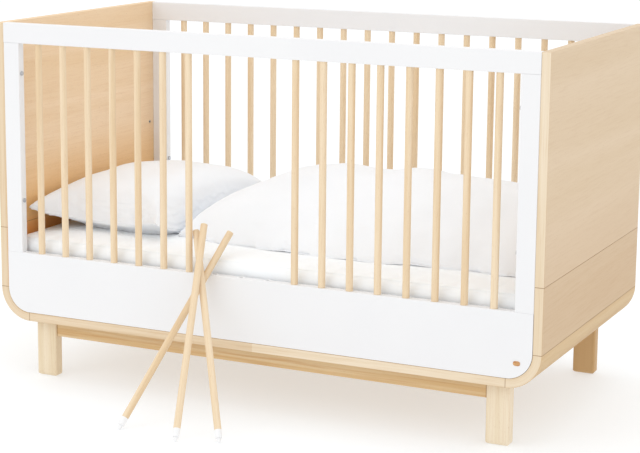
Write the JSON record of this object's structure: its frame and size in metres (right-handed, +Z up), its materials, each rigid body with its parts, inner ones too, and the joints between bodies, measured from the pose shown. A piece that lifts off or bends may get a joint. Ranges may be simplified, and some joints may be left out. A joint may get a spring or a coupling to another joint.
{
  "type": "baby crib",
  "caption": "Cot bed with a U-shaped wooden shell on legs, white barred sides, a height-adjustable slatted base, bedding, and loose sprung slip bars leaning in front.",
  "frame": {"origin": "on the floor, at the bottom centre of the whole model, leaning slip bars included: X is the middle of the crib, and Y is midway between the foremost bar foot and the back", "axes": "+X along the crib towards the foot end, +Y from the front to the back, +Z up"},
  "size_m": [1.45, 1.0466, 0.912],
  "materials": {
    "veneered_maple": "pale maple veneer under satin lacquer",
    "oiled_beech": "solid beech, satin oil",
    "oiled_pine": "solid pine with a wavy grain, satin oil",
    "bar_wood": "turned beech, satin lacquer",
    "white_lacquer": "satin white lacquer on wood board",
    "white_plastic": "moulded, satin",
    "spring_steel": "drawn wire",
    "slat_pine": "planed pine",
    "mattress_cover": "quilted white jersey",
    "bed_linen": "white percale cotton",
    "dowel_beech": "fluted dowels, unfinished",
    "badge_wood": "plain dark veneer oval",
    "zinc_steel": "zinc-plated"
  },
  "bodies": {
    "crib": {"left_panel_upper": "veneered_maple", "left_panel_lower": "veneered_maple", "left_corner": "veneered_maple", "right_panel_upper": "veneered_maple", "right_panel_lower": "veneered_maple", "right_corner": "veneered_maple", "bottom_board": "veneered_maple", "leg_front_left": "oiled_beech", "leg_front_right": "oiled_beech", "leg_rear_left": "oiled_beech", "leg_rear_right": "oiled_beech", "front_stretcher": "oiled_pine", "rear_stretcher": "oiled_pine", "front_top_rail": "white_lacquer", "front_post_left": "white_lacquer", "front_post_right": "white_lacquer", "front_panel": "white_lacquer", "rear_top_rail": "white_lacquer", "rear_post_left": "white_lacquer", "rear_post_right": "white_lacquer", "rear_panel": "white_lacquer", "front_bars_left": "bar_wood", "front_bars_right": "bar_wood", "rear_bars_left": "bar_wood", "rear_bars_right": "bar_wood", "socket_bushes": "white_plastic", "frame_bolts": "zinc_steel", "panel_inserts": "zinc_steel", "height_inserts": "zinc_steel", "base_pegs": "zinc_steel", "leg_bolts": "zinc_steel", "stretcher_screws": "zinc_steel", "panel_screws": "zinc_steel", "shell_dowels": "dowel_beech", "frame_dowels": "dowel_beech", "badge": "badge_wood"},
    "bed_base": {"base_rail_front": "slat_pine", "base_rail_rear": "slat_pine", "base_end_left": "slat_pine", "base_end_right": "slat_pine", "slats": "slat_pine", "mattress": "mattress_cover", "pillow": "bed_linen", "duvet": "bed_linen"},
    "loose_bar_1": {"slip_bar_1": "bar_wood", "slip_cap_1": "white_plastic", "slip_spring_1": "spring_steel"},
    "plunger_1": {"slip_plunger_1": "white_plastic"},
    "loose_bar_2": {"slip_bar_2": "bar_wood", "slip_cap_2": "white_plastic", "slip_spring_2": "spring_steel"},
    "plunger_2": {"slip_plunger_2": "white_plastic"},
    "loose_bar_3": {"slip_bar_3": "bar_wood", "slip_cap_3": "white_plastic", "slip_spring_3": "spring_steel"},
    "plunger_3": {"slip_plunger_3": "white_plastic"}
  },
  "joints": [
    {"name": "mattress_base_height", "type": "slide", "parent": "crib", "child": "bed_base", "axis": [0, 0, 1], "range_m": [0, 0.324]},
    {"name": "slip_bar_1_set_aside", "type": "slide", "parent": "crib", "child": "loose_bar_1", "axis": [0.6, -0.8, 0], "range_m": [0, 0.326]},
    {"name": "slip_bar_2_set_aside", "type": "slide", "parent": "crib", "child": "loose_bar_2", "axis": [0.6, -0.8, 0], "range_m": [0, 0.326]},
    {"name": "slip_bar_3_set_aside", "type": "slide", "parent": "crib", "child": "loose_bar_3", "axis": [0.6, -0.8, 0], "range_m": [0, 0.326]},
    {"name": "slip_plunger_1_press", "type": "slide", "parent": "loose_bar_1", "child": "plunger_1", "axis": [0.223, 0.5992, 0.7689], "range_m": [0, 0.01], "stiffness_N_per_m": 600, "springref_m": -0.01, "deforming": ["slip_spring_1"]},
    {"name": "slip_plunger_2_press", "type": "slide", "parent": "loose_bar_2", "child": "plunger_2", "axis": [-0.3866, 0.5026, 0.7732], "range_m": [0, 0.01], "stiffness_N_per_m": 600, "springref_m": -0.01, "deforming": ["slip_spring_2"]},
    {"name": "slip_plunger_3_press", "type": "slide", "parent": "loose_bar_3", "child": "plunger_3", "axis": [-0.1695, 0.5652, 0.8074], "range_m": [0, 0.01], "stiffness_N_per_m": 600, "springref_m": -0.01, "deforming": ["slip_spring_3"]}
  ],
  "couplings": [
    {"joint": "slip_bar_1_set_aside", "follows": "mattress_base_height", "ratio": 1},
    {"joint": "slip_bar_2_set_aside", "follows": "mattress_base_height", "ratio": 1},
    {"joint": "slip_bar_3_set_aside", "follows": "mattress_base_height", "ratio": 1}
  ]
}
